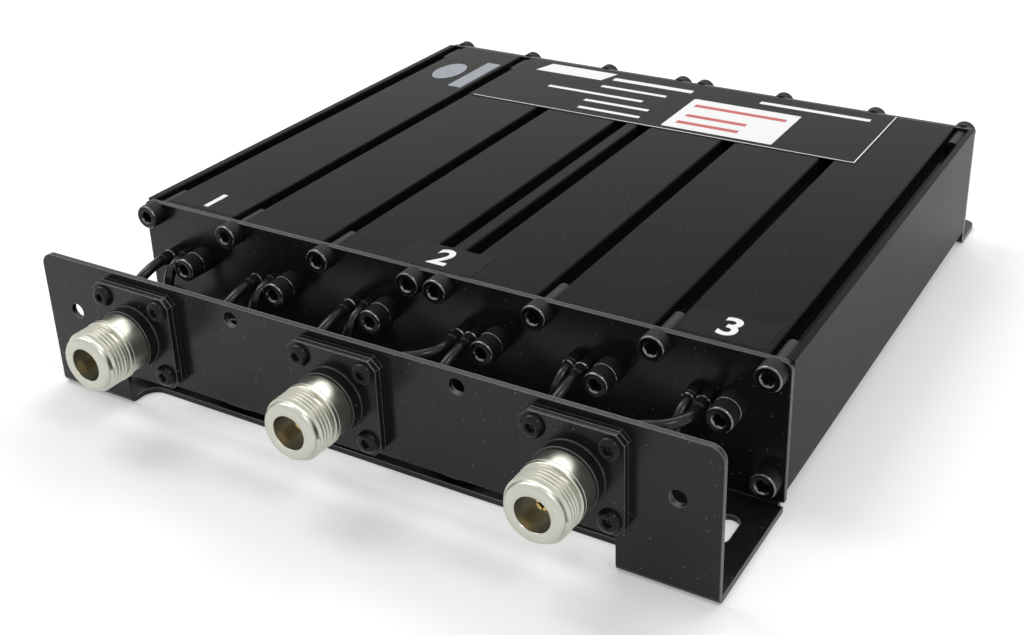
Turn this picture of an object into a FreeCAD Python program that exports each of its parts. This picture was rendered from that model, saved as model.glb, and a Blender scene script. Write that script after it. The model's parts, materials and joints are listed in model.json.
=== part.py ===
import FreeCAD, Part
import math
import os

# Six-cavity UHF notch duplexer, all sizes in millimetres.
# X runs along the front from the low port to the high port, Y runs backwards, Z is up.
# The origin is the bottom centre of the whole object's box.

# Housing: two aluminium extrusions side by side, three cavities in each.
HALF_WIDTH = 96.5
HOUSING_HEIGHT = 34.5
CAVITY_LENGTH = 156.0
STAND_OFF = 4.9
WALL = 2.0
WEB = 2.0
CHANNEL_EDGE = 4.1
CHANNEL_INNER = 15.65
CHANNEL_DEPTH = 3.0
CHANNEL_BOSS_WALL = 1.5
CHANNEL_CHAMFER = 0.35

# Folded sheet metal.
SHEET = 1.5
BEND_INNER = 0.5
TROUGH = 36.0
PANEL_CORNER = 3.5
PLATE_CORNER = 2.0
EAR_WIDTH = 24.5
CUTOUT_HEIGHT = 10.8
CUTOUT_DEPTH = 8.1
CUTOUT_CORNER = 4.0
RELIEF = 1.2
RELIEF_HEIGHT = 2.2
FOOT_DEPTH = 15.0
FOOT_CORNER = 3.5
SLOT_WIDTH = 5.4
SLOT_LENGTH = 11.0
SLOT_FROM_EDGE = 9.0
SLOT_FROM_PANEL = 23.1
FOOT_HOLE = 5.4
PANEL_HOLE = 4.2
PANEL_SIDE_HOLE_FROM_EDGE = 10.0
PANEL_SIDE_HOLE_BELOW_TOP = 15.0
PANEL_TOP_HOLE_BELOW_TOP = 3.7

# Socket cap screws that hold the two end plates.
SCREW = 4.0
SCREW_HEAD = 6.8
SCREW_HEAD_HEIGHT = 4.3
SCREW_HEAD_ROUND = 0.6
SCREW_LENGTH = 12.0
SCREW_HEX = 3.0
SCREW_HEX_DEPTH = 2.0
SCREW_HEX_FLARE = 3.9
SCREW_HOLE_GAP = 0.15
CHANNEL_GAP = 0.1

# Tuning line of one cavity: resonator tube, sliding plunger, screw and lock sleeve.
TUNING_OFFSET = 3.4
TUNING_BELOW_TOP = 13.9
SLEEVE_LENGTH = 4.0
SLEEVE_DIAMETER = 7.0
SLEEVE_CHAMFER = 0.15
HEAD_GAP = 0.4
RUNNING_GAP = 0.05
SPIGOT_DIAMETER = 6.4
SPIGOT_GAP = 0.05
RESONATOR_BASE = 9.0
RESONATOR_BASE_LENGTH = 4.0
RESONATOR_TUBE = 8.0
RESONATOR_REAR_SPACE = 32.0
PLUNGER_DIAMETER = 5.0
PLUNGER_GAP = 0.1
PLUNGER_START = 8.5
PLUNGER_REACH = 7.0
PLUNGER_TIP = 11.0
PLUNGER_TIP_LENGTH = 3.0
PLUNGER_SOCKET = 7.0
SCREW_TIP_GAP = 0.1

# Cable ports and coupling loops.
PORT_OFFSET = 4.7
PORT_BELOW_TOP = 14.0
CABLE = 2.9
CABLE_SPACING = 3.8
CABLE_HOLE_GAP = 0.1
CABLE_INSIDE = 5.0
FERRULE_DIAMETER = 3.6
FERRULE_LENGTH = 6.4
FERRULE_LENGTH_LOW = 2.3
FERRULE_EASE = 0.2
LOOP_WIRE = 1.6
LOOP_LENGTH = 26.0
LOOP_DEPTH_SHARE = 0.65
LOOP_BEND_SHARE = 0.33

# Coaxial connectors with a square flange.
CONNECTOR_FROM_EDGE = 33.5
CONNECTOR_BELOW_TOP = 14.6
FLANGE = 25.4
FLANGE_CHAMFER = 2.1
FLANGE_THICKNESS = 1.6
SPACER_THICKNESS = 1.4
FLANGE_SCREW_SPACING = 18.26
FLANGE_SCREW = 3.0
FLANGE_SCREW_GAP = 0.1
BUTTON_HEAD = 5.7
BUTTON_HEIGHT = 1.5
BUTTON_RIM = 0.25
BUTTON_CROWN = 3.0
BUTTON_HEX = 2.0
BUTTON_HEX_DEPTH = 0.9
BUTTON_HEX_FLARE = 2.6
FLANGE_SCREW_LENGTH = 6.0
PORT_REACH = 19.6
BASE_BARREL_DIAMETER = 16.4
BASE_BARREL_LENGTH = 3.2
NECK_DIAMETER = 15.2
NECK_LENGTH = 4.7
COLLAR_DIAMETER = 16.6
COLLAR_LENGTH = 1.2
UNDERCUT_DIAMETER = 14.4
UNDERCUT_LENGTH = 0.9
THREAD_DIAMETER = 15.88
FRONT_RING_DIAMETER = 14.0
FRONT_RING_LENGTH = 0.9
PORT_BORE = 8.6
PORT_BORE_DEPTH = 9.0
REAR_BARREL_DIAMETER = 11.8
REAR_BARREL_LENGTH = 4.5
REAR_BARREL_GAP = 0.1
FLANGE_BORE_GAP = 0.05
CONTACT_DIAMETER = 3.0
CONTACT_HOLE = 1.6
CONTACT_HOLE_DEPTH = 4.0
CONTACT_RECESS = 4.2
SOLDER_CUP_END = 11.0
SOLDER_CUP_LENGTH = 3.5
INSULATOR_GAP = 0.05

# Harness routes. An arch leaves a cavity forwards and dives, a lane runs along the base,
# and a riser climbs close to the end plate.
CABLE_END_GAP = 0.2
ARCH_START = 14.0
ARCH_LEAN = 5.0
ARCH_KNEE = 15.0
ARCH_KNEE_HEIGHT = 10.5
LANE_BACK = 10.0
LANE_HEIGHT = 2.0
LANE_LEAD = 5.0
LANE_STOP = 13.0
RISER_GAP = 9.5
RISER_LEAN = 1.5
RISER_FOOT_HEIGHT = 5.5
CUP_LEAD = 6.0
CABLE_DROP_HEIGHT = 8.5

# Places worked out from the sizes above.
TOP = STAND_OFF + HOUSING_HEIGHT
DEPTH = PORT_REACH + SHEET + TROUGH + SHEET + CAVITY_LENGTH + SHEET + FOOT_DEPTH
PANEL_Y = PORT_REACH - DEPTH / 2
PANEL_BACK_Y = PANEL_Y + SHEET
PLATE_Y = PANEL_BACK_Y + TROUGH
HOUSING_Y = PLATE_Y + SHEET
REAR_Y = HOUSING_Y + CAVITY_LENGTH
REAR_BACK_Y = REAR_Y + SHEET
FOOT_END_Y = REAR_BACK_Y + FOOT_DEPTH
CHANNEL_RADIUS = SCREW / 2 + CHANNEL_GAP
CHANNEL_OFFSETS = [
    CHANNEL_EDGE,
    HALF_WIDTH / 2 - CHANNEL_INNER,
    HALF_WIDTH / 2 + CHANNEL_INNER,
    HALF_WIDTH - CHANNEL_EDGE,
]
CHANNEL_HEIGHTS = [STAND_OFF + CHANNEL_DEPTH, TOP - CHANNEL_DEPTH]
SCREW_COLUMNS = [-x for x in reversed(CHANNEL_OFFSETS)] + CHANNEL_OFFSETS
RIGHT_CENTRES = [
    (WALL + CHANNEL_OFFSETS[1] - WEB / 2) / 2,
    (CHANNEL_OFFSETS[1] + CHANNEL_OFFSETS[2]) / 2,
    (CHANNEL_OFFSETS[2] + WEB / 2 + HALF_WIDTH - WALL) / 2,
]
CAVITY_CENTRES = [-x for x in reversed(RIGHT_CENTRES)] + RIGHT_CENTRES
CONNECTOR_X = HALF_WIDTH - CONNECTOR_FROM_EDGE
CONNECTORS = {"low": -CONNECTOR_X, "antenna": 0.0, "high": CONNECTOR_X}
CONNECTOR_Z = TOP - CONNECTOR_BELOW_TOP
TUNING_Z = TOP - TUNING_BELOW_TOP
PORT_Z = TOP - PORT_BELOW_TOP
SLOT_X = HALF_WIDTH - SLOT_FROM_EDGE
PANEL_SIDE_HOLE = (HALF_WIDTH - PANEL_SIDE_HOLE_FROM_EDGE, TOP - PANEL_SIDE_HOLE_BELOW_TOP)
PANEL_TOP_HOLE = (CHANNEL_OFFSETS[1], TOP - PANEL_TOP_HOLE_BELOW_TOP)
RESONATOR_END_Y = REAR_Y - RESONATOR_REAR_SPACE
PLUNGER_Y = HOUSING_Y + PLUNGER_START
SCREW_HOLE_RADIUS = SCREW / 2 + SCREW_HOLE_GAP
RUNNING_RADIUS = SCREW / 2 + RUNNING_GAP
SPIGOT_HOLE_RADIUS = SPIGOT_DIAMETER / 2 + SPIGOT_GAP
CABLE_HOLE_RADIUS = CABLE / 2 + CABLE_HOLE_GAP
FLANGE_HOLE_RADIUS = FLANGE_SCREW / 2 + FLANGE_SCREW_GAP
BARREL_HOLE_RADIUS = REAR_BARREL_DIAMETER / 2 + REAR_BARREL_GAP
OVERCUT = 1.0

ALONG_Y = FreeCAD.Vector(0, 1, 0)


def vec(x, y, z):
    return FreeCAD.Vector(x, y, z)


def box(x0, x1, y0, y1, z0, z1):
    return Part.makeBox(x1 - x0, y1 - y0, z1 - z0, vec(x0, y0, z0))


def rod_y(x, z, y0, y1, radius):
    return Part.makeCylinder(radius, y1 - y0, vec(x, y0, z), ALONG_Y)


def turned_y(x, z, profile, arcs=None):
    """Revolve a closed outline of (y, radius) points about a line along Y.

    An entry of arcs makes the side that leaves the point of that number an arc through a middle.
    """
    points = [vec(x + radius, y, z) for y, radius in profile]
    sides = [Part.LineSegment(a, b) for a, b in zip(points, points[1:] + points[:1])]
    for number, (y, radius) in (arcs or {}).items():
        sides[number] = Part.Arc(points[number], vec(x + radius, y, z), points[number + 1])
    outline = Part.Face(Part.Wire([side.toShape() for side in sides]))
    return outline.revolve(vec(x, 0, z), ALONG_Y, 360)


def key_socket(x, z, y, inward, across_flats, depth, flare):
    """A six-sided socket that opens at y with a flared mouth and goes down inward, 1 or -1."""
    corner = across_flats / 2 / math.cos(math.pi / 6)
    angles = [math.pi / 3 * k for k in range(7)]
    points = [vec(x + corner * math.cos(a), y, z + corner * math.sin(a)) for a in angles]
    hexagon = Part.Face(Part.makePolygon(points)).extrude(vec(0, inward * depth, 0))
    end = y + inward * flare / 2
    return hexagon.fuse(turned_y(x, z, [(y, 0), (y, flare / 2), (end, 0)]))


def edges_where(shape, test):
    """The straight edges whose middle point passes the test."""
    found = []
    for edge in shape.Edges:
        middle = edge.valueAt((edge.FirstParameter + edge.LastParameter) / 2)
        direction = edge.tangentAt(edge.FirstParameter)
        if test(middle, direction):
            found.append(edge)
    return found


def near(a, b):
    return abs(a - b) < 1e-4


def round_top_corners(sheet, radius, top):
    """Round the two upper corners of an upright sheet of the full width."""
    def is_corner(middle, direction):
        return near(abs(direction.y), 1) and near(abs(middle.x), HALF_WIDTH) and near(middle.z, top)
    return sheet.makeFillet(radius, edges_where(sheet, is_corner))


def folded_sheet(y0, y1, z1, inside):
    """A box-shaped outside and inside, both with rounded lower edges along X."""
    def is_fold(middle, direction):
        return near(abs(direction.x), 1) and near(middle.z, inside)
    solid = box(-HALF_WIDTH, HALF_WIDTH, y0, y1, inside, z1)
    radius = BEND_INNER if inside else BEND_INNER + SHEET
    return solid.makeFillet(radius, edges_where(solid, is_fold))


# Front bracket: one sheet folded twice into connector panel, base and end plate.
def cutout_tool():
    half = HALF_WIDTH - EAR_WIDTH
    back = PANEL_Y + CUTOUT_DEPTH
    tool = box(-half, half, PANEL_Y - OVERCUT, back, -OVERCUT, CUTOUT_HEIGHT)

    def is_back_corner(middle, direction):
        return near(abs(direction.z), 1) and near(middle.y, back)
    return tool.makeFillet(CUTOUT_CORNER, edges_where(tool, is_back_corner))


def slot_tool(x, y):
    straight = (SLOT_LENGTH - SLOT_WIDTH) / 2
    radius = SLOT_WIDTH / 2
    tool = box(x - radius, x + radius, y - straight, y + straight, -OVERCUT, SHEET + OVERCUT)
    for end in (y - straight, y + straight):
        tool = tool.fuse(Part.makeCylinder(radius, SHEET + 2 * OVERCUT, vec(x, end, -OVERCUT)))
    return tool


def panel_tools():
    """Everything cut through the connector panel."""
    y0 = PANEL_Y - OVERCUT
    y1 = PANEL_BACK_Y + OVERCUT
    tools = []
    for side in (-1, 1):
        for x, z in (PANEL_SIDE_HOLE, PANEL_TOP_HOLE):
            tools.append(rod_y(side * x, z, y0, y1, PANEL_HOLE / 2))
    for x in CONNECTORS.values():
        tools += flange_hole_tools(x, y0, y1)
    return tools


def flange_hole_tools(x, y0, y1):
    half = FLANGE_SCREW_SPACING / 2
    tools = [rod_y(x, CONNECTOR_Z, y0, y1, BARREL_HOLE_RADIUS)]
    for dx in (-half, half):
        for dz in (-half, half):
            tools.append(rod_y(x + dx, CONNECTOR_Z + dz, y0, y1, FLANGE_HOLE_RADIUS))
    return tools


def end_screw_tools(y0, y1):
    return [rod_y(x, z, y0, y1, SCREW_HOLE_RADIUS) for x in SCREW_COLUMNS for z in CHANNEL_HEIGHTS]


def front_plate_tools():
    """Everything cut through the front end plate."""
    y0 = PLATE_Y - OVERCUT
    y1 = HOUSING_Y + OVERCUT
    tools = end_screw_tools(y0, y1)
    for centre in CAVITY_CENTRES:
        tools.append(rod_y(centre + TUNING_OFFSET, TUNING_Z, y0, y1, SPIGOT_HOLE_RADIUS))
        for side in (-1, 1):
            x = centre - PORT_OFFSET + side * CABLE_SPACING / 2
            tools.append(rod_y(x, PORT_Z, y0, y1, CABLE_HOLE_RADIUS))
    return tools


def relief_tools():
    """Open notches at both ends of the fold under the end plate."""
    tools = []
    for x in (-HALF_WIDTH, HALF_WIDTH - RELIEF):
        y0 = PLATE_Y - BEND_INNER
        tools.append(box(x, x + RELIEF, y0, HOUSING_Y + OVERCUT, -OVERCUT, RELIEF_HEIGHT))
    return tools


def make_front_bracket():
    bracket = folded_sheet(PANEL_Y, HOUSING_Y, TOP, 0.0)
    bracket = bracket.cut(folded_sheet(PANEL_BACK_Y, PLATE_Y, TOP + OVERCUT, SHEET))

    def is_panel_corner(middle, direction):
        at_corner = near(abs(middle.x), HALF_WIDTH) and near(middle.z, TOP)
        return near(abs(direction.y), 1) and at_corner and middle.y < PANEL_BACK_Y

    def is_plate_corner(middle, direction):
        at_corner = near(abs(middle.x), HALF_WIDTH) and near(middle.z, TOP)
        return near(abs(direction.y), 1) and at_corner and middle.y > PLATE_Y
    bracket = bracket.makeFillet(PANEL_CORNER, edges_where(bracket, is_panel_corner))
    bracket = bracket.makeFillet(PLATE_CORNER, edges_where(bracket, is_plate_corner))
    slots = [slot_tool(side * SLOT_X, PANEL_Y + SLOT_FROM_PANEL) for side in (-1, 1)]
    tools = [cutout_tool()] + slots + relief_tools() + panel_tools() + front_plate_tools()
    return bracket.cut(tools).removeSplitter()


# Rear plate: closes the cavities and ends in a foot that turns backwards.
def make_rear_plate():
    outer = box(-HALF_WIDTH, HALF_WIDTH, REAR_Y, FOOT_END_Y, 0, TOP)
    inner = box(-HALF_WIDTH, HALF_WIDTH, REAR_BACK_Y, FOOT_END_Y + OVERCUT, SHEET, TOP + OVERCUT)

    def is_outer_fold(middle, direction):
        return near(abs(direction.x), 1) and near(middle.y, REAR_Y) and near(middle.z, 0)

    def is_inner_fold(middle, direction):
        return near(abs(direction.x), 1) and near(middle.y, REAR_BACK_Y) and near(middle.z, SHEET)

    def is_foot_corner(middle, direction):
        return near(abs(direction.z), 1) and near(middle.y, FOOT_END_Y)
    outer = outer.makeFillet(BEND_INNER + SHEET, edges_where(outer, is_outer_fold))
    inner = inner.makeFillet(BEND_INNER, edges_where(inner, is_inner_fold))
    plate = outer.cut(inner)
    plate = plate.makeFillet(FOOT_CORNER, edges_where(plate, is_foot_corner))
    plate = round_top_corners(plate, PLATE_CORNER, TOP)
    holes = end_screw_tools(REAR_Y - OVERCUT, REAR_BACK_Y + OVERCUT)
    hole_y = (REAR_BACK_Y + BEND_INNER + FOOT_END_Y) / 2
    for side in (-1, 1):
        at = vec(side * SLOT_X, hole_y, -OVERCUT)
        holes.append(Part.makeCylinder(FOOT_HOLE / 2, SHEET + 2 * OVERCUT, at))
    return plate.cut(holes).removeSplitter()


# Housing extrusions: one drawn profile, used twice.
def rectangle_xz(x0, x1, z0, z1):
    corners = [(x0, z0), (x1, z0), (x1, z1), (x0, z1), (x0, z0)]
    return Part.Face(Part.makePolygon([vec(x, HOUSING_Y, z) for x, z in corners]))


def disc_xz(x, z, radius):
    return Part.Face(Part.Wire(Part.makeCircle(radius, vec(x, HOUSING_Y, z), ALONG_Y)))


def channel_face(x, z, outward):
    """A round screw channel with an open, slightly flared mouth."""
    mouth = z + outward * CHANNEL_DEPTH
    flare = mouth - outward * CHANNEL_CHAMFER
    wide = CHANNEL_RADIUS + CHANNEL_CHAMFER
    past = mouth + outward * OVERCUT
    outline = [(-CHANNEL_RADIUS, z), (-CHANNEL_RADIUS, flare), (-wide, mouth), (-wide, past),
               (wide, past), (wide, mouth), (CHANNEL_RADIUS, flare), (CHANNEL_RADIUS, z)]
    points = [vec(x + dx, HOUSING_Y, height) for dx, height in outline]
    throat = Part.Face(Part.makePolygon(points + points[:1]))
    return disc_xz(x, z, CHANNEL_RADIUS).fuse(throat)


def cavity_face(x0, x1):
    """The open section of one cavity, with the screw channels' walls left standing."""
    face = rectangle_xz(x0, x1, STAND_OFF + WALL, TOP - WALL)
    boss = CHANNEL_RADIUS + CHANNEL_BOSS_WALL
    discs = [disc_xz(x, z, boss) for x in SCREW_COLUMNS for z in CHANNEL_HEIGHTS]
    return face.cut([disc for disc in discs if disc.common(face).Area > 0])


def make_extrusion(x0):
    section = rectangle_xz(x0, x0 + HALF_WIDTH, STAND_OFF, TOP)
    columns = [x0 + offset for offset in CHANNEL_OFFSETS]
    walls = [x0 + WALL - WEB / 2] + columns[1:3] + [x0 + HALF_WIDTH - WALL + WEB / 2]
    tools = [cavity_face(a + WEB / 2, b - WEB / 2) for a, b in zip(walls, walls[1:])]
    for x in columns:
        for z, outward in zip(CHANNEL_HEIGHTS, (-1, 1)):
            tools.append(channel_face(x, z, outward))
    section = section.cut(tools)
    return section.extrude(vec(0, CAVITY_LENGTH, 0)).removeSplitter()


# Fasteners.
def cap_head(y_seat, outward):
    """Outline and rim arc of a socket cap screw's head, from its axis to its seat."""
    y = y_seat + outward * SCREW_HEAD_HEIGHT
    radius = SCREW_HEAD / 2
    short = SCREW_HEAD_ROUND * (1 - math.sqrt(0.5))
    profile = [(y, 0), (y, radius - SCREW_HEAD_ROUND), (y - outward * SCREW_HEAD_ROUND, radius),
               (y_seat, radius)]
    return profile, {1: (y - outward * short, radius - short)}


def cap_screw(x, z, y_seat, outward, length):
    """A socket cap screw along Y whose head sits on y_seat and points outward, 1 or -1."""
    head, arcs = cap_head(y_seat, outward)
    end_y = y_seat - outward * length
    profile = head + [(y_seat, SCREW / 2), (end_y, SCREW / 2), (end_y, 0)]
    head_y = y_seat + outward * SCREW_HEAD_HEIGHT
    socket = key_socket(x, z, head_y, -outward, SCREW_HEX, SCREW_HEX_DEPTH, SCREW_HEX_FLARE)
    return turned_y(x, z, profile, arcs).cut(socket)


def make_end_screws(y_seat, outward):
    return Part.makeCompound([cap_screw(x, z, y_seat, outward, SCREW_LENGTH)
                              for x in SCREW_COLUMNS for z in CHANNEL_HEIGHTS])


def button_screw(x, z, y_seat):
    """A small domed screw with its head on y_seat, pointing forwards."""
    top = y_seat - BUTTON_HEIGHT
    end = y_seat + FLANGE_SCREW_LENGTH
    rim = BUTTON_HEAD / 2
    crown = BUTTON_CROWN / 2
    dome_y = y_seat - BUTTON_RIM
    profile = [(top, 0), (top, crown), (dome_y, rim), (y_seat, rim), (y_seat, FLANGE_SCREW / 2),
               (end, FLANGE_SCREW / 2), (end, 0)]
    run = dome_y - top
    dome = (top + run * (1 - math.sqrt(0.5)), crown + (rim - crown) * math.sqrt(0.5))
    socket = key_socket(x, z, top, 1, BUTTON_HEX, BUTTON_HEX_DEPTH, BUTTON_HEX_FLARE)
    return turned_y(x, z, profile, {1: dome}).cut(socket)


def make_flange_screws():
    seat = flange_front()
    half = FLANGE_SCREW_SPACING / 2
    screws = []
    for x in CONNECTORS.values():
        for dx in (-half, half):
            screws += [button_screw(x + dx, CONNECTOR_Z + dz, seat) for dz in (-half, half)]
    return Part.makeCompound(screws)


# Connectors.
def square_plate(x, y0, y1):
    """A square flange with its four corners cut off."""
    half = FLANGE / 2
    cut = half - FLANGE_CHAMFER
    outline = [(-half, -cut), (-half, cut), (-cut, half), (cut, half),
               (half, cut), (half, -cut), (cut, -half), (-cut, -half)]
    points = [vec(x + dx, y0, CONNECTOR_Z + dz) for dx, dz in outline]
    return Part.Face(Part.makePolygon(points + points[:1])).extrude(vec(0, y1 - y0, 0))


def make_spacer(x):
    y0 = PANEL_Y - SPACER_THICKNESS
    tools = flange_hole_tools(x, y0 - OVERCUT, PANEL_Y + OVERCUT)
    return square_plate(x, y0, PANEL_Y).cut(tools)


def flange_front():
    return PANEL_Y - SPACER_THICKNESS - FLANGE_THICKNESS


def make_flange(x):
    """Square flange with the short round collar that the shell stands on."""
    front = flange_front()
    back = PANEL_Y - SPACER_THICKNESS
    collar_y = front - BASE_BARREL_LENGTH
    bore = REAR_BARREL_DIAMETER / 2 + FLANGE_BORE_GAP
    collar = rod_y(x, CONNECTOR_Z, collar_y, back, BASE_BARREL_DIAMETER / 2)
    holes = flange_hole_tools(x, front - OVERCUT, back + OVERCUT)
    plate = square_plate(x, front, back).cut(holes[1:])
    return plate.fuse(collar).cut(rod_y(x, CONNECTOR_Z, collar_y - OVERCUT, back + OVERCUT, bore))


def make_connector_shell(x):
    neck_y = flange_front() - BASE_BARREL_LENGTH
    collar_y = neck_y - NECK_LENGTH
    undercut_y = collar_y - COLLAR_LENGTH
    thread_y = undercut_y - UNDERCUT_LENGTH
    front_y = PANEL_Y - PORT_REACH
    ring_y = front_y + FRONT_RING_LENGTH
    rear_y = PANEL_Y + REAR_BARREL_LENGTH
    steps = [(neck_y, REAR_BARREL_DIAMETER), (neck_y, NECK_DIAMETER),
             (collar_y, NECK_DIAMETER), (collar_y, COLLAR_DIAMETER), (undercut_y, COLLAR_DIAMETER),
             (undercut_y, UNDERCUT_DIAMETER), (thread_y, UNDERCUT_DIAMETER), (thread_y, THREAD_DIAMETER),
             (ring_y, THREAD_DIAMETER), (front_y, FRONT_RING_DIAMETER), (front_y, PORT_BORE),
             (rear_y, PORT_BORE), (rear_y, REAR_BARREL_DIAMETER)]
    return turned_y(x, CONNECTOR_Z, [(y, diameter / 2) for y, diameter in steps])


def make_insulator(x):
    front = PANEL_Y - PORT_REACH + PORT_BORE_DEPTH
    rear = PANEL_Y + REAR_BARREL_LENGTH
    outer = PORT_BORE / 2 - INSULATOR_GAP
    inner = CONTACT_DIAMETER / 2 + INSULATOR_GAP
    return turned_y(x, CONNECTOR_Z, [(front, inner), (front, outer), (rear, outer), (rear, inner)])


def make_contact(x):
    """Gold centre pin: a socket at the front, a half-open solder cup at the back."""
    front = PANEL_Y - PORT_REACH + CONTACT_RECESS
    rear = PANEL_Y + SOLDER_CUP_END
    radius = CONTACT_DIAMETER / 2
    pin = rod_y(x, CONNECTOR_Z, front, rear, radius)
    bores = [rod_y(x, CONNECTOR_Z, front - OVERCUT, front + CONTACT_HOLE_DEPTH, CONTACT_HOLE / 2),
             rod_y(x, CONNECTOR_Z, rear - SOLDER_CUP_LENGTH, rear + OVERCUT, CONTACT_HOLE / 2)]
    cup = box(x - radius, x + radius, rear - SOLDER_CUP_LENGTH, rear + OVERCUT,
              CONNECTOR_Z, CONNECTOR_Z + radius + OVERCUT)
    return pin.cut(bores + [cup])


# Tuning lines.
def make_resonator(x):
    base_y = HOUSING_Y + RESONATOR_BASE_LENGTH
    bore = PLUNGER_DIAMETER / 2 + PLUNGER_GAP
    profile = [(PLATE_Y, RUNNING_RADIUS), (PLATE_Y, SPIGOT_DIAMETER / 2),
               (HOUSING_Y, SPIGOT_DIAMETER / 2), (HOUSING_Y, RESONATOR_BASE / 2),
               (base_y, RESONATOR_BASE / 2), (base_y, RESONATOR_TUBE / 2),
               (RESONATOR_END_Y, RESONATOR_TUBE / 2), (RESONATOR_END_Y, bore), (base_y, bore),
               (base_y, RUNNING_RADIUS)]
    return turned_y(x, TUNING_Z, profile)


def make_sleeve(x):
    outer = SLEEVE_DIAMETER / 2
    front = PLATE_Y - SLEEVE_LENGTH
    profile = [(front, RUNNING_RADIUS), (front, outer - SLEEVE_CHAMFER), (front + SLEEVE_CHAMFER, outer),
               (PLATE_Y, outer), (PLATE_Y, RUNNING_RADIUS)]
    return turned_y(x, TUNING_Z, profile)


def make_tuning_screw(x):
    seat = PLATE_Y - SLEEVE_LENGTH - HEAD_GAP
    end = PLUNGER_Y + PLUNGER_SOCKET - SCREW_TIP_GAP
    return cap_screw(x, TUNING_Z, seat, -1, end - seat)


def make_plunger(x):
    tip_y = RESONATOR_END_Y + PLUNGER_REACH
    end = tip_y + PLUNGER_TIP_LENGTH
    outer = PLUNGER_DIAMETER / 2
    socket_y = PLUNGER_Y + PLUNGER_SOCKET
    profile = [(PLUNGER_Y, RUNNING_RADIUS), (PLUNGER_Y, outer), (tip_y, outer),
               (tip_y, PLUNGER_TIP / 2), (end, PLUNGER_TIP / 2), (end, 0),
               (socket_y, 0), (socket_y, RUNNING_RADIUS)]
    return turned_y(x, TUNING_Z, profile)


# Tubes along straight runs joined by tangent arcs.
def tube(points, radius, share=0.45):
    """Sweep a round section; each arc takes a share of the shorter run beside it."""
    route = [vec(*point) for point in points]
    edges = []
    radii = []
    start = route[0]
    for before, corner, after in zip(route, route[1:], route[2:]):
        to_start = (before - corner).normalize()
        to_end = (after - corner).normalize()
        reach = share * min(before.distanceToPoint(corner), after.distanceToPoint(corner))
        half_turn = (math.pi - to_start.getAngle(to_end)) / 2
        arc_radius = reach / math.tan(half_turn)
        radii.append(round(arc_radius, 1))
        first = corner + to_start * reach
        last = corner + to_end * reach
        centre_way = (to_start + to_end).normalize()
        centre = corner + centre_way * (arc_radius / math.cos(half_turn))
        middle = centre - centre_way * arc_radius
        edges.append(Part.LineSegment(start, first).toShape())
        edges.append(Part.Arc(first, middle, last).toShape())
        start = last
    edges.append(Part.LineSegment(start, route[-1]).toShape())
    path = Part.Wire(edges)
    section = Part.Wire(Part.makeCircle(radius, route[0], route[1] - route[0]))
    solid = path.makePipeShell([section], True, False)
    expected = math.pi * radius ** 2 * path.Length
    print("arc radii", radii, "volume against section times length", round(solid.Volume / expected, 4))
    return solid


# Coupling loop: one wire from the cable ends along the cavity and back to the plate.
def make_loop(centre):
    x = centre - PORT_OFFSET
    start_y = HOUSING_Y + CABLE_INSIDE + LOOP_WIRE / 2
    far_y = HOUSING_Y + LOOP_LENGTH
    low_z = PORT_Z - LOOP_DEPTH_SHARE * (PORT_Z - STAND_OFF - WALL)
    points = [(x, start_y, PORT_Z), (x, far_y, PORT_Z), (x, far_y, low_z), (x, HOUSING_Y, low_z)]
    wire = tube(points, LOOP_WIRE / 2, LOOP_BEND_SHARE)
    half = CABLE_SPACING / 2
    bar = Part.makeCylinder(LOOP_WIRE / 2, 2 * half, vec(x - half, start_y, PORT_Z), vec(1, 0, 0))
    return wire.fuse(bar).removeSplitter()


# Harness: eight coaxial cables between the cavities and the connectors.
INSIDE_Y = HOUSING_Y + CABLE_INSIDE
LANE_Y = PANEL_Y + LANE_BACK
LANE_Z = SHEET + LANE_HEIGHT
CUP_Z = CONNECTOR_Z - CONTACT_DIAMETER / 2 - CABLE_END_GAP
CUP_Y = PANEL_Y + SOLDER_CUP_END + CABLE_END_GAP


def hole_x(number, side):
    """The place of a cavity's left (-1) or right (1) cable hole."""
    return CAVITY_CENTRES[number] - PORT_OFFSET + side * CABLE_SPACING / 2


def arch_points(x):
    """Forwards out of the housing, down behind the panel and back to the right on the base."""
    knee = (x - ARCH_LEAN, PANEL_Y + ARCH_KNEE, SHEET + ARCH_KNEE_HEIGHT)
    return [(x, INSIDE_Y, PORT_Z), (x, PLATE_Y - ARCH_START, PORT_Z), knee,
            (x + LANE_LEAD, LANE_Y, LANE_Z)]


def riser_points(x, lean):
    """Up from the base close to the end plate and back into the housing."""
    y = PLATE_Y - RISER_GAP
    foot = (x + lean, y, SHEET + RISER_FOOT_HEIGHT)
    return [foot, (x, y, PORT_Z), (x, INSIDE_Y, PORT_Z)]


def with_ferrule(cable, x, length):
    """Add the ferrule in front of the end plate at a cable hole."""
    front = PLATE_Y - length
    outer = FERRULE_DIAMETER / 2
    profile = [(front, 0), (front, outer - FERRULE_EASE), (front + FERRULE_EASE, outer),
               (PLATE_Y, outer), (PLATE_Y, 0)]
    return cable.fuse(turned_y(x, PORT_Z, profile))


def make_link_cable(first, side):
    """From the given side's hole of one cavity to the other side's hole of the next."""
    a = hole_x(first, side)
    b = hole_x(first + 1, -side)
    stop = (b - LANE_STOP, LANE_Y, LANE_Z)
    cable = tube(arch_points(a) + [stop] + riser_points(b, -RISER_LEAN), CABLE / 2)
    return with_ferrule(with_ferrule(cable, a, FERRULE_LENGTH), b, FERRULE_LENGTH_LOW)


def make_low_cable():
    """From under the low port's solder cup, along the base and up to the first cavity."""
    x = CONNECTORS["low"]
    hole = hole_x(0, 1)
    drop = (x, LANE_Y, SHEET + CABLE_DROP_HEIGHT)
    cable = tube([(x, LANE_Y, CUP_Z), drop] + riser_points(hole, RISER_LEAN), CABLE / 2)
    return with_ferrule(cable, hole, FERRULE_LENGTH_LOW)


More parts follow.
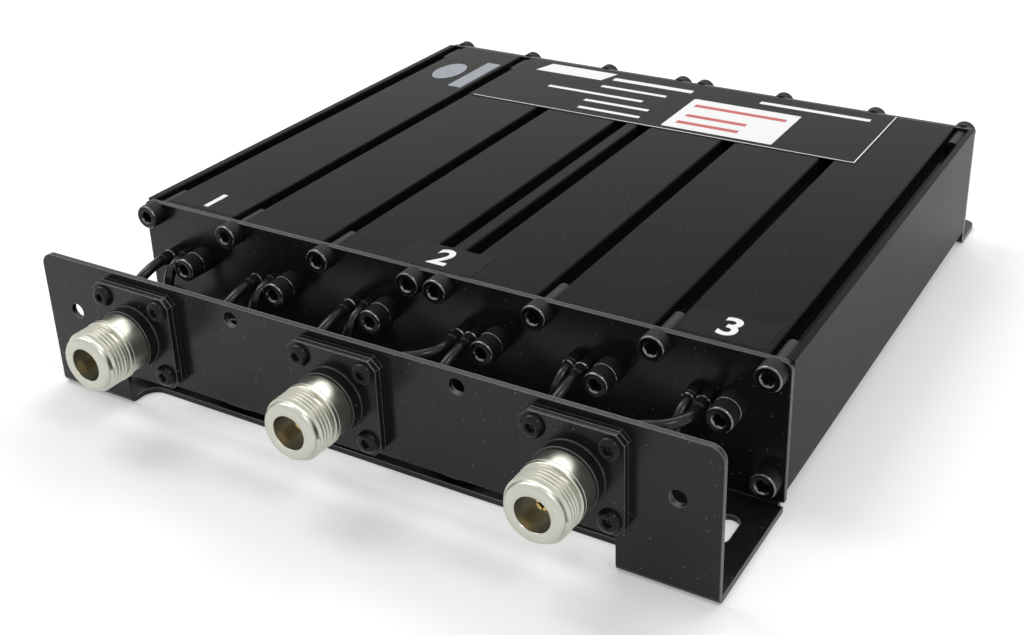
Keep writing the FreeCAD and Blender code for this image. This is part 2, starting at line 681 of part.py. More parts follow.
def make_antenna_in_cable():
    """From the third cavity along the base and up to the antenna port's solder cup."""
    x = CONNECTORS["antenna"]
    hole = hole_x(2, -1)
    cable = tube(arch_points(hole) + [(x, LANE_Y, LANE_Z), (x, LANE_Y, CUP_Z)], CABLE / 2)
    return with_ferrule(cable, hole, FERRULE_LENGTH)


def make_straight_cable(port, hole):
    """Straight back from a port's solder cup and over to a cable hole."""
    x = CONNECTORS[port]
    cable = tube([(x, CUP_Y, CONNECTOR_Z), (x, CUP_Y + CUP_LEAD, CONNECTOR_Z),
                  (hole, PLATE_Y - ARCH_START, PORT_Z), (hole, INSIDE_Y, PORT_Z)], CABLE / 2)
    return with_ferrule(cable, hole, FERRULE_LENGTH)


def export(name, shape):
    shape.exportStep("parts/" + name + ".step")
    print(name, "valid", shape.isValid(), "volume", round(shape.Volume, 1))


os.makedirs("parts", exist_ok=True)

export("front_bracket", make_front_bracket())
export("rear_plate", make_rear_plate())
export("extrusion_low", make_extrusion(-HALF_WIDTH))
export("extrusion_high", make_extrusion(0.0))
export("front_plate_screws", make_end_screws(PLATE_Y, -1))
export("rear_plate_screws", make_end_screws(REAR_BACK_Y, 1))
export("flange_screws", make_flange_screws())
for name, x in CONNECTORS.items():
    export("connector_shell_" + name, make_connector_shell(x))
    export("connector_flange_" + name, make_flange(x))
    export("connector_spacer_" + name, make_spacer(x))
    export("connector_insulator_" + name, make_insulator(x))
    export("connector_contact_" + name, make_contact(x))
for number, centre in enumerate(CAVITY_CENTRES, 1):
    tuning_x = centre + TUNING_OFFSET
    export("resonator_%d" % number, make_resonator(tuning_x))
    export("plunger_%d" % number, make_plunger(tuning_x))
    export("tuning_screw_%d" % number, make_tuning_screw(tuning_x))
    export("lock_sleeve_%d" % number, make_sleeve(tuning_x))
    export("coupling_loop_%d" % number, make_loop(centre))
export("cable_low", make_low_cable())
export("cable_1_2", make_link_cable(0, -1))
export("cable_2_3", make_link_cable(1, -1))
export("cable_3_antenna", make_antenna_in_cable())
export("cable_antenna_4", make_straight_cable("antenna", hole_x(3, -1)))
export("cable_4_5", make_link_cable(3, 1))
export("cable_5_6", make_link_cable(4, 1))
export("cable_high", make_straight_cable("high", hole_x(5, 1)))
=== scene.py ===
import bpy
import bmesh
import json
import math
from mathutils import Matrix, Vector


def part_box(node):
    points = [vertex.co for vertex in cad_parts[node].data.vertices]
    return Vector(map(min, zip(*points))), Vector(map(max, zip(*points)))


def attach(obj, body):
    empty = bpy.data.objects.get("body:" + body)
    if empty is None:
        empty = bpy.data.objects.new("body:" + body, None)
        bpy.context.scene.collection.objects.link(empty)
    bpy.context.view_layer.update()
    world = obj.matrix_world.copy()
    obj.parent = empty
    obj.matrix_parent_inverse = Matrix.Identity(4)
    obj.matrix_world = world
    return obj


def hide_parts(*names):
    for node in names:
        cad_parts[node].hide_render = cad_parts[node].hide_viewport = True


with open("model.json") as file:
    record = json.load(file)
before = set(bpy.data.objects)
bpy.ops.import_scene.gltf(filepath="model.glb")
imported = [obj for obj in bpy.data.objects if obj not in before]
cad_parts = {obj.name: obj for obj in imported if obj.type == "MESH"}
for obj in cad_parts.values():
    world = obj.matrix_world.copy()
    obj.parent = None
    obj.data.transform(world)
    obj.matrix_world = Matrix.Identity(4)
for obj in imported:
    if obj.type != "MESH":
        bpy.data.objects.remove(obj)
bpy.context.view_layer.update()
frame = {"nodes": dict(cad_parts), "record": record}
MM = 0.001

# The camera, found from the photograph's straight edges and the ports' standard sizes.
IMAGE_WIDTH = 1024
IMAGE_HEIGHT = 635
FOCAL_PX = 1394.56
CENTRE_PX = (550.54, 210.90)
AZIMUTH = 0.5243
ELEVATION = 0.4307
ROLL = -0.0208
CAMERA_AT = (0.183117, -0.313108, 0.198861)
SENSOR = 36.0
CLIP_START = 0.01
CLIP_END = 30

# The room. Each softbox has its place, its width and length, and its watts. WORLD_LEVEL is the
# world's light on the object, and FLOOR_LIFT what the floor shows on top of its own light.
SOFTBOXES = {
    "left_softbox": ((-0.8, -0.05, 1.2), (0.4, 1.0), 6.5),
    "right_softbox": ((0.8, -0.3, 1.0), (0.3, 0.3), 2.2),
    "rear_softbox": ((-0.02, 0.75, 0.95), (1.3, 0.35), 4.6),
}
WORLD_LEVEL = 0.43
FLOOR_SIZE = 30
FLOOR_LIFT = 0.25

# Places taken from the frame.
PORTS = ("low", "antenna", "high")
PANEL_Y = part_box("connector_spacer_low")[1].y
PLATE_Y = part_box("lock_sleeve_1")[1].y
REAR_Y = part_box("extrusion_low")[1].y
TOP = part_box("extrusion_low")[1].z

# Screws, and the saw cuts of the ports' inner contacts.
SHEET = 1.5 * MM
SCREW_PITCH = 0.7 * MM
SCREW_THREAD_DEPTH = 0.1 * MM
SAW_CUT_HALF_WIDTH = 0.16 * MM
SAW_CUT_FROM_PANEL = 11 * MM

# Ports. Their outlines are (y, radius) points in millimetres, with y from the panel's face.
SHELL_OUTLINE = [
    (4.5, 4.3), (4.5, 5.9), (-6.2, 5.9), (-6.2, 7.5), (-6.3, 7.6), (-10.75, 7.6), (-10.9, 7.7),
    (-10.9, 8.0), (-10.98, 8.08), (-11.2, 8.08), (-11.26, 7.98), (-11.36, 7.98), (-11.42, 8.08),
    (-12.3, 8.08), (-12.5, 7.95), (-12.75, 7.28), (-18.3, 7.28), (-18.6, 7.3), (-18.95, 7.2),
    (-19.3, 6.95), (-19.52, 6.62), (-19.6, 6.35), (-19.6, 4.5), (-19.55, 4.38), (-19.4, 4.3),
]
FLANGE_RING_OUTLINE = [(-2.9, 5.95), (-2.9, 8.5), (-3.4, 8.5), (-3.55, 8.35), (-3.55, 5.95)]
SHELL_SHARP = 24
TURN_STEPS = 96
THREAD_START = -13.0 * MM
THREAD_END = -18.1 * MM
THREAD_PITCH = 1.058 * MM
THREAD_CREST = 7.94 * MM
THREAD_ROOT = 7.28 * MM
THREAD_SINK = 0.1 * MM
THREAD_HALF_FLAT = THREAD_PITCH / 14
THREAD_STEPS = 64

# Tinned rings on the two cables beside each tuning screw.
CABLE_PAIR_FROM_SCREW = 8.1 * MM
CABLE_HALF_SPACING = 1.9 * MM
CABLE_BELOW_SCREW = 0.1 * MM
RING_FROM_PLATE = 3.3 * MM
RING_STEPS = 40

# In millimetres: a ring's section, and its inner radius on a ferrule and on a bare cable.
RING_HALF_WIDTH = 0.25
RING_HALF_FLAT = 0.12
RING_RIM = 0.2
RING_WALL = 0.32
ON_FERRULE = 1.7
ON_CABLE = 1.38

# What the rings at the left and right cable of each tuning screw sit on. None is no ring.
FERRULE_RINGS = {
    1: (ON_FERRULE, None),
    2: (ON_FERRULE, None),
    3: (ON_FERRULE, None),
    4: (ON_FERRULE, ON_FERRULE),
    5: (ON_CABLE, ON_FERRULE),
    6: (ON_CABLE, ON_FERRULE),
}

# Films and prints on the housing's top. An area is its left, front, right and back in
# millimetres, from the housing's middle and from the panel's face.
FILM = 0.12 * MM
THIN_FILM = FILM / 2
PRINT = 0.03 * MM
NAME_FILM = (-61.5, 152.3, 72.5, 194.9)
NAME_FILM_CORNER = 0.8 * MM
BORDER = [(-59.9, 152.9, 72.1, 153.25), (71.75, 153.25, 72.1, 194.8)]
RULES = [
    (-24.5, 186.0, 5.0, 188.6), (-25.1, 178.4, -1.0, 180.2), (-41.4, 170.8, -6.0, 172.6),
    (-24.0, 164.1, -0.6, 165.9), (-22.7, 157.3, -0.5, 159.1), (28.8, 187.0, 65.7, 189.2),
]
SLANTED_FIELD = (-53.6, 184.3, -28.0, 192.3)
SLANT = 2.4 * MM
WHITE_STICKER = (8.4, 155.2, 45.3, 181.7)
WHITE_STICKER_CORNER = 0.5 * MM
RED_RULES = [(11.0, 174.8, 42.3, 177.0), (12.0, 165.6, 32.6, 167.8), (11.6, 159.2, 32.4, 161.4)]
OVAL_MIDDLE = (-80.2, 169.4)
OVAL_HALF_WIDTH = 4.9
OVAL_HALF_LENGTH = 8.4
OVAL_STEPS = 64
SILVER_STRIP = (-72.7, 156.4, -67.4, 183.0)
SILVER_STRIP_CORNER = 0.3 * MM
TAPES = {
    "1": (-89.6, 40.4, -66.0, 51.0),
    "2": (-13.0, 39.2, 11.2, 51.6),
    "3": (67.5, 40.2, 88.7, 51.8),
}
TAPE_CORNER = 0.4 * MM
CORNER_STEPS = 5
DIGIT_HEIGHT = 8.2 * MM
DIGIT_SHARE_OF_FONT = 0.7
DIGIT_BOLD = 0.25 * MM
MERGE_DISTANCE = 1e-7

# The colour sockets of a Mix node, which have the same names as its other sockets.
MIX_SHARE = 0
MIX_FIRST = 6
MIX_SECOND = 7
MIXED_COLOUR = 2

# The Bevel node's samples, and how fast an edge shows once its normal turns.
EASE_SAMPLES = 6
EDGE_GAIN = 4.0


# Shader nodes.
class Wire:
    """One output socket. Sums, products and comparisons of it add Math nodes."""

    def __init__(self, finish, socket):
        self.finish = finish
        self.socket = socket

    def maths(self, operation, *values):
        node = self.finish.add("Math", {"operation": operation}, dict(enumerate(values)))
        return self.finish.out(node)

    def __add__(self, other):
        return self.maths("ADD", self, other)

    def __sub__(self, other):
        return self.maths("SUBTRACT", self, other)

    def __rsub__(self, other):
        return self.maths("SUBTRACT", other, self)

    def __mul__(self, other):
        return self.maths("MULTIPLY", self, other)

    def __lt__(self, other):
        return self.maths("LESS_THAN", self, other)

    def __gt__(self, other):
        return self.maths("GREATER_THAN", self, other)

    def __abs__(self):
        return self.maths("ABSOLUTE", self)

    def sine(self):
        return self.maths("SINE", self)

    def wrapped(self, low, high):
        return self.maths("WRAP", self, high, low)

    __radd__ = __add__
    __rmul__ = __mul__


class Finish:
    """One material: its nodes, its place on the object and its shader."""

    def __init__(self, name, metallic=0.0, specular=0.5):
        self.material = bpy.data.materials.new(name)
        self.material.use_nodes = True
        self.tree = self.material.node_tree
        self.shader = self.tree.nodes["Principled BSDF"]
        self.put(self.shader.inputs["Metallic"], metallic)
        self.put(self.shader.inputs["Specular IOR Level"], specular)
        self.place = self.out(self.add("TexCoord", {}, {}), "Object")

    def put(self, socket, value):
        if isinstance(value, Wire):
            self.tree.links.new(value.socket, socket)
        else:
            socket.default_value = value

    def add(self, kind, settings, values):
        node = self.tree.nodes.new("ShaderNode" + kind)
        for name, setting in settings.items():
            setattr(node, name, setting)
        for key, value in values.items():
            self.put(node.inputs[key], value)
        return node

    def out(self, node, name=0):
        return Wire(self, node.outputs[name])

    def seen(self):
        """1 where the camera or a reflection looks, 0 where light is gathered."""
        rays = self.add("LightPath", {}, {})
        camera = self.out(rays, "Is Camera Ray")
        glossy = self.out(rays, "Is Glossy Ray")
        clear = self.out(rays, "Is Transmission Ray")
        return (camera + glossy + clear) > 0.5

    def part(self, vector, axis):
        """The X, Y or Z of a vector."""
        return self.out(self.add("SeparateXYZ", {}, {"Vector": vector}), axis)

    def noise(self, size, detail=2.0, stretch=(1, 1, 1)):
        """Smooth noise from 0 to 1 with lumps of a size in metres, drawn out along the axes."""
        scale = [1 / (size * share) for share in stretch]
        place = self.out(self.add("VectorMath", {"operation": "MULTIPLY"}, {0: self.place, 1: scale}))
        values = {"Vector": place, "Scale": 1.0, "Detail": detail}
        return self.out(self.add("TexNoise", {}, values), "Fac")

    def specks(self, spacing, radius):
        """1 in round specks of a radius in metres that lie scattered, 0 elsewhere."""
        cells = self.add("TexVoronoi", {}, {"Vector": self.place, "Scale": 1 / spacing})
        return self.out(cells, "Distance") < radius / spacing

    def mix(self, share, first, second):
        values = {MIX_SHARE: share, MIX_FIRST: first, MIX_SECOND: second}
        return self.out(self.add("Mix", {"data_type": "RGBA"}, values), MIXED_COLOUR)

    def flat(self):
        """The surface's own normal."""
        return self.out(self.add("NewGeometry", {}, {}), "Normal")

    def eased(self, radius):
        """The normal of edges that are rounded over a radius in metres."""
        return self.out(self.add("Bevel", {"samples": EASE_SAMPLES}, {"Radius": radius}))

    def edge_share(self, rounded):
        """0 on the flat, and more the further an eased edge turns from it."""
        dot = self.add("VectorMath", {"operation": "DOT_PRODUCT"}, {0: rounded, 1: self.flat()})
        return (1.0 - self.out(dot, "Value")) * EDGE_GAIN

    def bump(self, height, distance, normal=None):
        values = {"Height": height, "Distance": distance, "Strength": 1.0}
        if normal is not None:
            values["Normal"] = normal
        return self.out(self.add("Bump", {}, values))

    def wear(self, colour, roughness, normal=None):
        """Put colour, roughness and normal on the shader."""
        self.put(self.shader.inputs["Base Color"], colour)
        self.put(self.shader.inputs["Roughness"], roughness)
        if normal is not None:
            self.put(self.shader.inputs["Normal"], normal)


def grey(level):
    return (level, level, level, 1)


def make_powder_coat():
    """Black powder coat on folded sheet: orange peel, a little dust, and a painted highlight on eased
    edges that face up and, less, to the right.
    """
    coat = Finish("powder_coat", specular=0.29)
    rounded = coat.eased(0.4 * MM)
    cloud = coat.noise(14 * MM)
    upwards = coat.part(rounded, "Z") > 0.25
    rightwards = coat.part(rounded, "X") > 0.4
    # Eased edges facing up, and less those facing right, are painted light grey: a painted highlight
    # where the lamps catch them.
    painted_highlight_share = coat.edge_share(rounded) * (upwards + rightwards * 0.4)
    colour = coat.mix(cloud, grey(0.009), grey(0.013))
    colour = coat.mix(painted_highlight_share, colour, grey(0.36))
    colour = coat.mix(coat.specks(1.9 * MM, 0.1 * MM), colour, grey(0.5))
    peel = coat.noise(0.6 * MM, detail=1.0)
    coat.wear(colour, 0.19 + cloud * 0.08, coat.bump(peel, 0.003 * MM, rounded))
    return coat.material


def make_anodised():
    """Black anodised extrusion: slightly warm, drawn lengthwise, duller on its side walls."""
    skin = Finish("black_anodised", specular=0.048)
    rounded = skin.eased(0.2 * MM)
    cloud = skin.noise(30 * MM, detail=3.0)
    drawn = skin.noise(0.5 * MM, stretch=(1, 160, 1))
    colour = skin.mix(cloud, (0.0062, 0.006, 0.0048, 1), (0.0085, 0.008, 0.0066, 1))
    # Eased edges painted a little lighter: a painted edge highlight.
    colour = skin.mix(skin.edge_share(rounded), colour, grey(0.03))
    colour = skin.mix(skin.specks(2.6 * MM, 0.09 * MM), colour, grey(0.4))
    side_wall = abs(skin.part(skin.flat(), "X")) > 0.9
    roughness = 0.13 + cloud * 0.06 + drawn * 0.03 + side_wall * 0.14
    grain = skin.noise(0.3 * MM, detail=1.0) + drawn * 0.4
    skin.wear(colour, roughness, skin.bump(grain, 0.0012 * MM, rounded))
    return skin.material


def make_black_oxide(name, painted_highlight_share):
    """Oiled black oxide on screws: thread along Y on their shanks, and a painted highlight on the rims
    of their heads.
    """
    oxide = Finish(name, specular=0.2)
    rounded = oxide.eased(0.12 * MM)
    along = oxide.part(oxide.place, "Y")
    shank = (along > PLATE_Y) * (along < REAR_Y + SHEET)
    thread = (along * (2 * math.pi / SCREW_PITCH)).sine() * shank
    cloud = oxide.noise(2.5 * MM)
    patchy = oxide.noise(1.4 * MM, detail=3.0)
    endways = abs(oxide.part(oxide.flat(), "Y"))
    # Head rims and socket flares, between end faces and sides, are painted light grey and metallic: a
    # painted highlight.
    painted_rim_highlight = (endways > 0.25) * (endways < 0.9) * painted_highlight_share * (0.35 + patchy)
    side = endways < 0.25
    # Eased edges painted lighter grey: a painted edge highlight.
    colour = oxide.mix(oxide.edge_share(rounded) * 0.5, grey(0.008), grey(0.1))
    colour = oxide.mix(painted_rim_highlight, colour, grey(0.2))
    colour = oxide.mix(shank, colour, grey(0.06))
    normal = oxide.bump(thread, SCREW_THREAD_DEPTH, rounded)
    normal = oxide.bump(oxide.noise(0.3 * MM), 0.002 * MM, normal)
    oxide.wear(colour, 0.1 + cloud * 0.08 + side * 0.45, normal)
    oxide.put(oxide.shader.inputs["Metallic"], painted_rim_highlight + shank * 0.8)
    return oxide.material


def make_nickel():
    """Bright nickel on turned brass: fine tool lines and a faint warm haze."""
    nickel = Finish("bright_nickel", metallic=1.0)
    haze = nickel.noise(5 * MM, detail=3.0)
    lines = nickel.noise(0.12 * MM, detail=1.0, stretch=(60, 1, 60))
    colour = nickel.mix(haze, (0.5, 0.497, 0.43, 1), (0.58, 0.577, 0.505, 1))
    normal = nickel.bump(lines, 0.006 * MM, nickel.eased(0.08 * MM))
    nickel.wear(colour, 0.23 + haze * 0.1 + lines * 0.05, normal)
    return nickel.material


def make_gold():
    """Gold on the ports' inner contacts, with the dark saw cuts that make their four springs."""
    gold = Finish("gold_plate", metallic=1.0)
    last_port = middle_of("connector_contact_high")
    across = gold.part(gold.place, "X").wrapped(-last_port.x / 2, last_port.x / 2)
    upwards = gold.part(gold.place, "Z") - last_port.z
    in_front = gold.part(gold.place, "Y") < PANEL_Y - SAW_CUT_FROM_PANEL
    cut = ((abs(across) < SAW_CUT_HALF_WIDTH) + (abs(upwards) < SAW_CUT_HALF_WIDTH)) * in_front
    haze = gold.noise(1.5 * MM)
    colour = gold.mix(haze, (0.83, 0.56, 0.2, 1), (0.9, 0.66, 0.28, 1))
    colour = gold.mix(cut, colour, (0.03, 0.02, 0.01, 1))
    gold.wear(colour, 0.16 + haze * 0.12, gold.bump(haze, 0.004 * MM, gold.eased(0.12 * MM)))
    return gold.material


def make_insulator():
    """White fluoropolymer, waxy and a little cloudy."""
    white = Finish("white_insulator")
    cloud = white.noise(1.8 * MM, detail=3.0)
    colour = white.mix(cloud, (0.72, 0.7, 0.62, 1), (0.84, 0.82, 0.76, 1))
    white.wear(colour, 0.42 + cloud * 0.12, white.bump(cloud, 0.01 * MM, white.eased(0.1 * MM)))
    return white.material


def make_silvered_brass():
    """Silver on turned brass: a warm haze and faint tool lines."""
    silver = Finish("silvered_brass", metallic=1.0)
    haze = silver.noise(4 * MM, detail=3.0)
    lines = silver.noise(0.2 * MM, detail=1.0, stretch=(50, 1, 50))
    colour = silver.mix(haze, (0.7, 0.66, 0.56, 1), (0.84, 0.82, 0.76, 1))
    silver.wear(colour, 0.2 + haze * 0.15, silver.bump(lines, 0.002 * MM))
    return silver.material


def make_crimp_tin():
    """Dull tin of the rings on the cables, bright only in places."""
    tin = Finish("crimp_tin", metallic=0.8)
    patchy = tin.noise(0.9 * MM, detail=3.0)
    bright = (patchy - 0.42) * 6.0
    colour = tin.mix(bright, grey(0.02), grey(0.55))
    tin.wear(colour, 0.25 + patchy * 0.2, tin.bump(patchy, 0.08 * MM))
    return tin.material


def make_copper_wire():
    """Tinned copper wire that shows its copper in places."""
    copper = Finish("tinned_copper", metallic=1.0)
    haze = copper.noise(1.2 * MM, detail=3.0)
    colour = copper.mix(haze, (0.7, 0.47, 0.3, 1), (0.78, 0.7, 0.6, 1))
    copper.wear(colour, 0.25 + haze * 0.2, copper.bump(haze, 0.01 * MM))
    return copper.material


def make_cable_jacket():
    """Black plastic jacket, smooth with a soft sheen and handling dust."""
    jacket = Finish("cable_jacket", specular=0.3)
    cloud = jacket.noise(3 * MM, detail=3.0)
    colour = jacket.mix(cloud, grey(0.007), grey(0.013))
    colour = jacket.mix(jacket.specks(1.7 * MM, 0.1 * MM), colour, grey(0.4))
    normal = jacket.bump(jacket.noise(0.35 * MM), 0.006 * MM, jacket.eased(0.2 * MM))
    jacket.wear(colour, 0.15 + cloud * 0.12, normal)
    return jacket.material


def make_film(name, first, second, roughness):
    """A sticker's film: even gloss over a faintly uneven glue bed."""
    film = Finish(name, specular=0.05)
    cloud = film.noise(6 * MM)
    normal = film.bump(film.noise(3 * MM, detail=0.0), 0.02 * MM, film.eased(0.06 * MM))
    film.wear(film.mix(cloud, first, second), roughness + cloud * 0.05, normal)
    return film.material


def make_ink(name, first, second):
    """Printing ink or a printed sticker, uneven at its fine grain."""
    ink = Finish(name)
    grain = ink.noise(0.25 * MM)
    ink.wear(ink.mix(grain, first, second), 0.35 + grain * 0.15, ink.bump(grain, 0.003 * MM))
    return ink.material


# Places and pieces.
def middle_of(node):
    """The middle of a CAD node's box."""
    low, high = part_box(node)
    return (low + high) / 2


def on_top(area, lift, thickness):
    """Low and high corner of a flat piece on the housing's top."""
    left, front, right, back = area
    low = Vector((left * MM, PANEL_Y + front * MM, TOP + lift))
    high = Vector((right * MM, PANEL_Y + back * MM, TOP + lift + thickness))
    return low, high


def finish_piece(form, name, material, sharp=30):
    """Make a mesh object of a bmesh and let it ride on the housing."""
    bmesh.ops.recalc_face_normals(form, faces=form.faces)
    mesh = bpy.data.meshes.new(name)
    form.to_mesh(mesh)
    form.free()
    for face in mesh.polygons:
        face.use_smooth = True
    mesh.set_sharp_from_angle(angle=math.radians(sharp))
    mesh.materials.append(material)
    piece = bpy.data.objects.new(name, mesh)
    bpy.context.scene.collection.objects.link(piece)
    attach(piece, "housing")
    return piece


def closed_outline(form, points):
    """Edges that join points to a closed loop."""
    return [form.edges.new(pair) for pair in zip(points, points[1:] + points[:1])]


def add_turned(form, at, outline, steps=TURN_STEPS):
    """Spin a closed outline of (y, radius) points in millimetres about the line along Y through at."""
    points = [form.verts.new((at.x + radius * MM, at.y + y * MM, at.z)) for y, radius in outline]
    sides = closed_outline(form, points)
    bmesh.ops.spin(form, geom=points + sides, cent=(at.x, 0, at.z), axis=(0, 1, 0),
                   angle=2 * math.pi, steps=steps, use_merge=True)


def add_thread(form, at):
    """Wind a ridge of the thread's section back from its front end, and run both ends out."""
    start = at.y + THREAD_START
    end = at.y + THREAD_END
    turns = (start - end) / THREAD_PITCH
    steps = round(turns * THREAD_STEPS)
    half = THREAD_PITCH / 2
    inside = THREAD_ROOT - THREAD_SINK
    outline = [(-half, inside), (-half, THREAD_ROOT), (-THREAD_HALF_FLAT, THREAD_CREST),
               (THREAD_HALF_FLAT, THREAD_CREST), (half, THREAD_ROOT), (half, inside)]
    points = [form.verts.new((at.x + radius, end + y, at.z)) for y, radius in outline]
    sides = closed_outline(form, points)
    form.faces.new(points)
    ridge = bmesh.ops.spin(form, geom=points + sides, cent=(at.x, 0, at.z), axis=(0, 1, 0),
                           angle=2 * math.pi * turns, dvec=(0, (start - end) / steps, 0), steps=steps)
    form.faces.new([part for part in ridge["geom_last"] if isinstance(part, bmesh.types.BMVert)])
    for point in form.verts:
        arm = Vector((point.co.x - at.x, point.co.z - at.z))
        room = inside + min(point.co.y - end + half, start + half - point.co.y)
        arm *= min(1.0, room / arm.length)
        point.co.x = at.x + arm.x
        point.co.z = at.z + arm.y


def add_slab(form, low, high, corner=0.0):
    """A flat slab in the box from low to high, its upright edges rounded."""
    slab = bmesh.ops.create_cube(form, size=1.0)["verts"]
    bmesh.ops.scale(form, vec=high - low, verts=slab)
    bmesh.ops.translate(form, vec=(low + high) / 2, verts=slab)
    if corner:
        upright = {edge for point in slab for edge in point.link_edges
                   if abs(edge.verts[0].co.z - edge.verts[1].co.z) > (high.z - low.z) / 2}
        bmesh.ops.bevel(form, geom=list(upright), offset=corner, offset_type="OFFSET",
                        segments=CORNER_STEPS, profile=0.5, affect="EDGES", material=-1)
    return slab


def make_port(name):
    """The turned nickel shell with its thread, and the black ring on the flange."""
    at = middle_of("connector_shell_" + name)
    at.y = PANEL_Y
    form = bmesh.new()
    add_thread(form, at)
    add_turned(form, at, SHELL_OUTLINE)
    shell = finish_piece(form, "port_shell_" + name, FINISHES["nickel"], sharp=SHELL_SHARP)
    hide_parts("connector_shell_" + name)
    form = bmesh.new()
    add_turned(form, at, FLANGE_RING_OUTLINE)
    finish_piece(form, "port_ring_" + name, FINISHES["black_coat"])


def ring_outline(inside):
    """A ring's section with two bevelled rims."""
    return [(-RING_HALF_WIDTH, inside), (-RING_HALF_WIDTH, inside + RING_RIM),
            (-RING_HALF_FLAT, inside + RING_WALL), (RING_HALF_FLAT, inside + RING_WALL),
            (RING_HALF_WIDTH, inside + RING_RIM), (RING_HALF_WIDTH, inside)]


def make_ferrule_rings():
    form = bmesh.new()
    for number, rings in FERRULE_RINGS.items():
        at = middle_of("lock_sleeve_%d" % number)
        at.y = PLATE_Y - RING_FROM_PLATE
        at.z -= CABLE_BELOW_SCREW
        at.x -= CABLE_PAIR_FROM_SCREW
        for side, inside in zip((-1, 1), rings):
            if inside is not None:
                cable = at + Vector((side * CABLE_HALF_SPACING, 0, 0))
                add_turned(form, cable, ring_outline(inside), steps=RING_STEPS)
    finish_piece(form, "ferrule_rings", CRIMP_TIN)


def make_film_piece(name, area, material, corner, lift=0.0, thickness=FILM):
    form = bmesh.new()
    add_slab(form, *on_top(area, lift, thickness), corner)
    finish_piece(form, name, material)


def make_prints(name, areas, material, lift):
    """Printed bars that lie on a film."""
    form = bmesh.new()
    for area in areas:
        add_slab(form, *on_top(area, lift, PRINT))
    finish_piece(form, name, material)


def make_slanted_field():
    """A printed bar whose back edge is pushed to the right."""
    form = bmesh.new()
    slab = add_slab(form, *on_top(SLANTED_FIELD, FILM, PRINT))
    middle = sum(point.co.y for point in slab) / len(slab)
    back = [point for point in slab if point.co.y > middle]
    bmesh.ops.translate(form, vec=(SLANT, 0, 0), verts=back)
    finish_piece(form, "slanted_field", WHITE_INK)


def make_oval_sticker():
    x, y = OVAL_MIDDLE
    form = bmesh.new()
    bmesh.ops.create_circle(form, cap_ends=True, segments=OVAL_STEPS, radius=MM)
    raised = bmesh.ops.extrude_face_region(form, geom=list(form.faces))["geom"]
    raised = [part for part in raised if isinstance(part, bmesh.types.BMVert)]
    bmesh.ops.translate(form, vec=(0, 0, FILM), verts=raised)
    bmesh.ops.scale(form, vec=(OVAL_HALF_WIDTH, OVAL_HALF_LENGTH, 1), verts=form.verts)
    bmesh.ops.translate(form, vec=(x * MM, PANEL_Y + y * MM, TOP), verts=form.verts)
    finish_piece(form, "oval_sticker", SILVER_FILM)


def make_tape(digit, area):
    """A patch of tape with one plain digit."""
    make_film_piece("tape_" + digit, area, CLEAR_TAPE, TAPE_CORNER, thickness=THIN_FILM)
    curve = bpy.data.curves.new("digit", "FONT")
    curve.body = digit
    curve.align_x = "CENTER"
    curve.align_y = "CENTER"
    curve.size = DIGIT_HEIGHT / DIGIT_SHARE_OF_FONT
    curve.extrude = PRINT / 2
    curve.offset = DIGIT_BOLD
    text = bpy.data.objects.new("digit", curve)
    mesh = bpy.data.meshes.new_from_object(text)
    low, high = on_top(area, THIN_FILM, PRINT)
    mesh.transform(Matrix.Translation((low + high) / 2))
    form = bmesh.new()
    form.from_mesh(mesh)
    bmesh.ops.remove_doubles(form, verts=form.verts, dist=MERGE_DISTANCE)
    finish_piece(form, "tape_digit_" + digit, WHITE_INK)
    bpy.data.objects.remove(text)
    bpy.data.curves.remove(curve)
    bpy.data.meshes.remove(mesh)


def dress_nodes():
    """Give each CAD node the finish of its material slot."""
    slots = {part["node"]: part["material_slot"] for part in frame["record"]["subparts"]}
    for name, node in frame["nodes"].items():
        node.data.materials.clear()
        node.data.materials.append(BUTTON_OXIDE if name == "flange_screws" else FINISHES[slots[name]])


# The room.
def add_camera():
    ahead = Vector((-math.sin(AZIMUTH) * math.cos(ELEVATION),
                    math.cos(AZIMUTH) * math.cos(ELEVATION), -math.sin(ELEVATION)))
    level = Vector((math.cos(AZIMUTH), math.sin(AZIMUTH), 0))
    upright = level.cross(ahead)
    right = level * math.cos(ROLL) + upright * math.sin(ROLL)
    up = upright * math.cos(ROLL) - level * math.sin(ROLL)
    data = bpy.data.cameras.new("camera")
    data.sensor_width = SENSOR
    data.lens = FOCAL_PX * SENSOR / IMAGE_WIDTH
    data.shift_x = (IMAGE_WIDTH / 2 - CENTRE_PX[0]) / IMAGE_WIDTH
    data.shift_y = (CENTRE_PX[1] - IMAGE_HEIGHT / 2) / IMAGE_WIDTH
    data.clip_start = CLIP_START
    data.clip_end = CLIP_END
    camera = bpy.data.objects.new("camera", data)
    turn = Matrix((right, up, -ahead)).transposed().to_4x4()
    camera.matrix_world = Matrix.Translation(Vector(CAMERA_AT)) @ turn
    bpy.context.scene.collection.objects.link(camera)
    bpy.context.scene.camera = camera


def add_softbox(name, at, size, watts):
    """A soft lamp that looks at the object's place on the floor."""
    data = bpy.data.lights.new(name, "AREA")
    data.shape = "RECTANGLE"
    data.size = size[0]
    data.size_y = size[1]
    data.energy = watts
    light = bpy.data.objects.new(name, data)
    light.location = at
    light.rotation_euler = (-Vector(at)).to_track_quat("-Z", "Y").to_euler()
    bpy.context.scene.collection.objects.link(light)


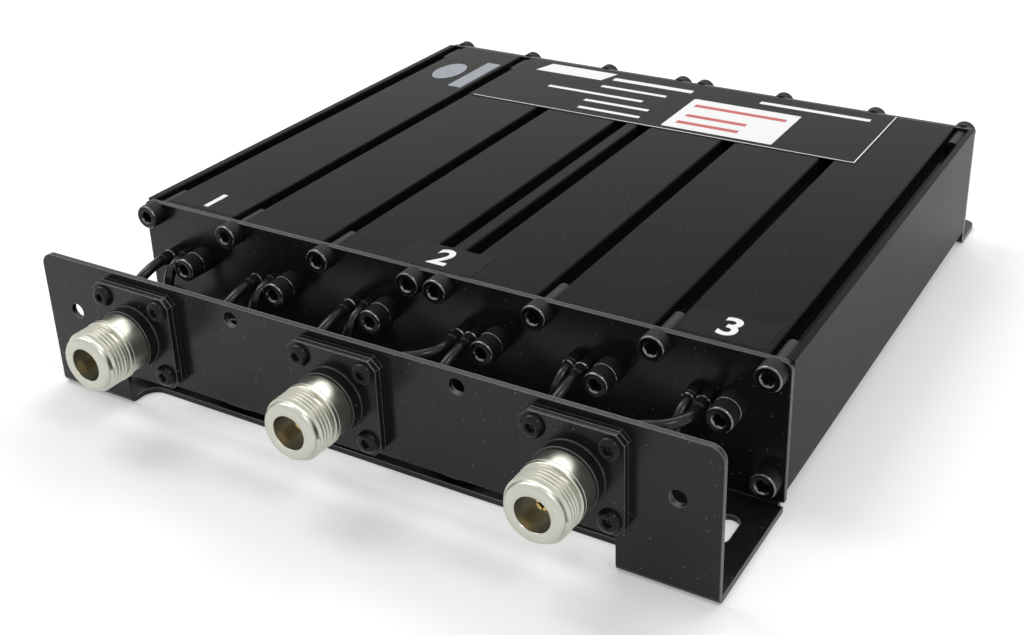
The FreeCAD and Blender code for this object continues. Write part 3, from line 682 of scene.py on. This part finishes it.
def add_floor():
    """A white floor that keeps the shadow, lifted only for the camera and for reflections."""
    bpy.ops.mesh.primitive_plane_add(size=FLOOR_SIZE, location=(0, 0, 0))
    floor = bpy.context.object
    floor.name = "floor"
    white = Finish("white_floor")
    cloud = white.noise(0.4)
    white.wear(white.mix(cloud, grey(0.9), grey(0.93)), 0.8 + cloud * 0.1)
    lift = white.mix(white.seen(), grey(0.0), grey(FLOOR_LIFT))
    white.put(white.shader.inputs["Emission Color"], lift)
    white.put(white.shader.inputs["Emission Strength"], 1.0)
    floor.data.materials.append(white.material)


class Sky(Finish):
    """The world's nodes, wired in the same way as a material's."""

    def __init__(self, name):
        self.world = bpy.data.worlds.new(name)
        self.world.use_nodes = True
        self.tree = self.world.node_tree
        self.shader = self.tree.nodes["Background"]


def add_world():
    """White to the camera and to reflections, and a plain soft light."""
    sky = Sky("world")
    sky.put(sky.shader.inputs["Color"], grey(1.0))
    sky.put(sky.shader.inputs["Strength"], WORLD_LEVEL + sky.seen() * (1 - WORLD_LEVEL))
    bpy.context.scene.world = sky.world


FINISHES = {
    "black_coat": make_powder_coat(),
    "black_housing": make_anodised(),
    "black_screw": make_black_oxide("black_oxide", 1.0),
    "nickel": make_nickel(),
    "gold": make_gold(),
    "white_insulator": make_insulator(),
    "silvered_brass": make_silvered_brass(),
    "copper_wire": make_copper_wire(),
    "cable_jacket": make_cable_jacket(),
}
BUTTON_OXIDE = make_black_oxide("button_oxide", 0.0)
CRIMP_TIN = make_crimp_tin()
BLACK_FILM = make_film("black_film", grey(0.006), grey(0.008), 0.16)
CLEAR_TAPE = make_film("tape_film", (0.0085, 0.0093, 0.0107, 1), (0.0105, 0.0115, 0.013, 1), 0.18)
SILVER_FILM = make_film("silver_film", (0.3, 0.32, 0.36, 1), (0.4, 0.42, 0.46, 1), 0.35)
WHITE_INK = make_ink("white_ink", (0.86, 0.86, 0.86, 1), (0.93, 0.93, 0.93, 1))
RED_INK = make_ink("red_ink", (0.5, 0.06, 0.06, 1), (0.6, 0.1, 0.09, 1))

dress_nodes()
for port in PORTS:
    make_port(port)
make_ferrule_rings()
make_film_piece("name_film", NAME_FILM, BLACK_FILM, NAME_FILM_CORNER)
make_prints("film_border", BORDER + RULES, WHITE_INK, FILM)
make_slanted_field()
make_film_piece("white_sticker", WHITE_STICKER, WHITE_INK, WHITE_STICKER_CORNER, FILM, THIN_FILM)
make_prints("sticker_rules", RED_RULES, RED_INK, FILM + THIN_FILM)
make_oval_sticker()
make_film_piece("silver_strip", SILVER_STRIP, SILVER_FILM, SILVER_STRIP_CORNER)
for digit, area in TAPES.items():
    make_tape(digit, area)

add_camera()
add_floor()
add_world()
for name, (at, size, watts) in SOFTBOXES.items():
    add_softbox(name, at, size, watts)
bpy.context.scene.view_settings.view_transform = "Standard"
